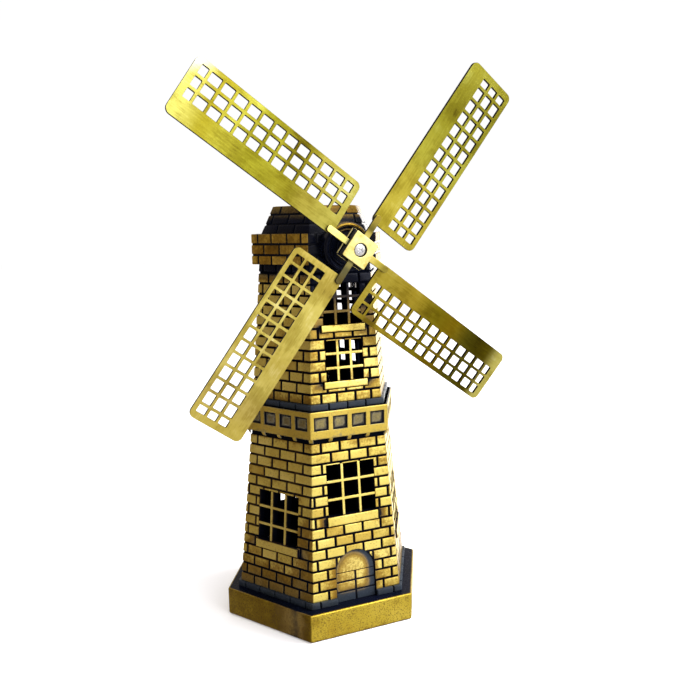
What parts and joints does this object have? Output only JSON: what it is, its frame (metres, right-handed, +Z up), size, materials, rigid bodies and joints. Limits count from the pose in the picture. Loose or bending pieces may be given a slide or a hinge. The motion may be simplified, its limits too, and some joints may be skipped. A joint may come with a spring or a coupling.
{
  "type": "windmill figurine",
  "caption": "Desk model of a six-sided brick tower windmill in antique brass, with a gallery, an overhanging cap and lattice sails that turn on a hub.",
  "frame": {"origin": "centre of the underside, on the surface that the model stands on", "axes": "+Z up the tower; the door and the sails face -Y; +X is to the right when the model is seen from the front"},
  "size_m": [0.1542, 0.0944, 0.2482],
  "materials": {
    "antique_brass_brick": "satin brick faces rubbed bright, black patina in the joints",
    "antique_brass_base": "satin sides rubbed bright, glossy black top",
    "antique_brass_gallery": "satin frames rubbed bright, dark panels",
    "antique_brass_cap": "satin brick faces with heavy dark patina",
    "antique_brass_roof": "mostly dark patina, rubbed near the top",
    "blackened_brass": "black patina, semi-gloss, worn bright on the rim",
    "polished_brass": "lightly brushed, bright",
    "sail_brass": "brushed along its length with dull dark blotches",
    "screw_steel": "nickel plated, bright",
    "shaft_steel": "ground",
    "bush_brass": "turned",
    "foam_pad": "matt black foam"
  },
  "bodies": {
    "tower": {"base": "antique_brass_base", "base_pad": "foam_pad", "base_screws": "screw_steel", "lower_shell_front": "antique_brass_brick", "lower_shell_rear": "antique_brass_brick", "gallery": "antique_brass_gallery", "tower_screws": "screw_steel", "upper_shell_front": "antique_brass_brick", "upper_shell_rear": "antique_brass_brick", "cap": "antique_brass_cap", "cap_screws": "screw_steel", "roof": "antique_brass_roof", "bearing_boss": "blackened_brass", "shaft_bush": "bush_brass"},
    "rotor": {"windshaft": "shaft_steel", "shaft_clip": "shaft_steel", "spacer": "blackened_brass", "hub_plate": "polished_brass", "hub_cover": "polished_brass", "hub_screw": "screw_steel", "arm_1": "polished_brass", "arm_2": "polished_brass", "arm_3": "polished_brass", "arm_4": "polished_brass", "sail_1": "sail_brass", "sail_2": "sail_brass", "sail_3": "sail_brass", "sail_4": "sail_brass"}
  },
  "joints": [
    {"name": "sails_turn", "type": "hinge", "parent": "tower", "child": "rotor", "pos_m": [0, 0, 0.1744], "axis": [0, -0.9976, -0.0698], "continuous": true}
  ]
}
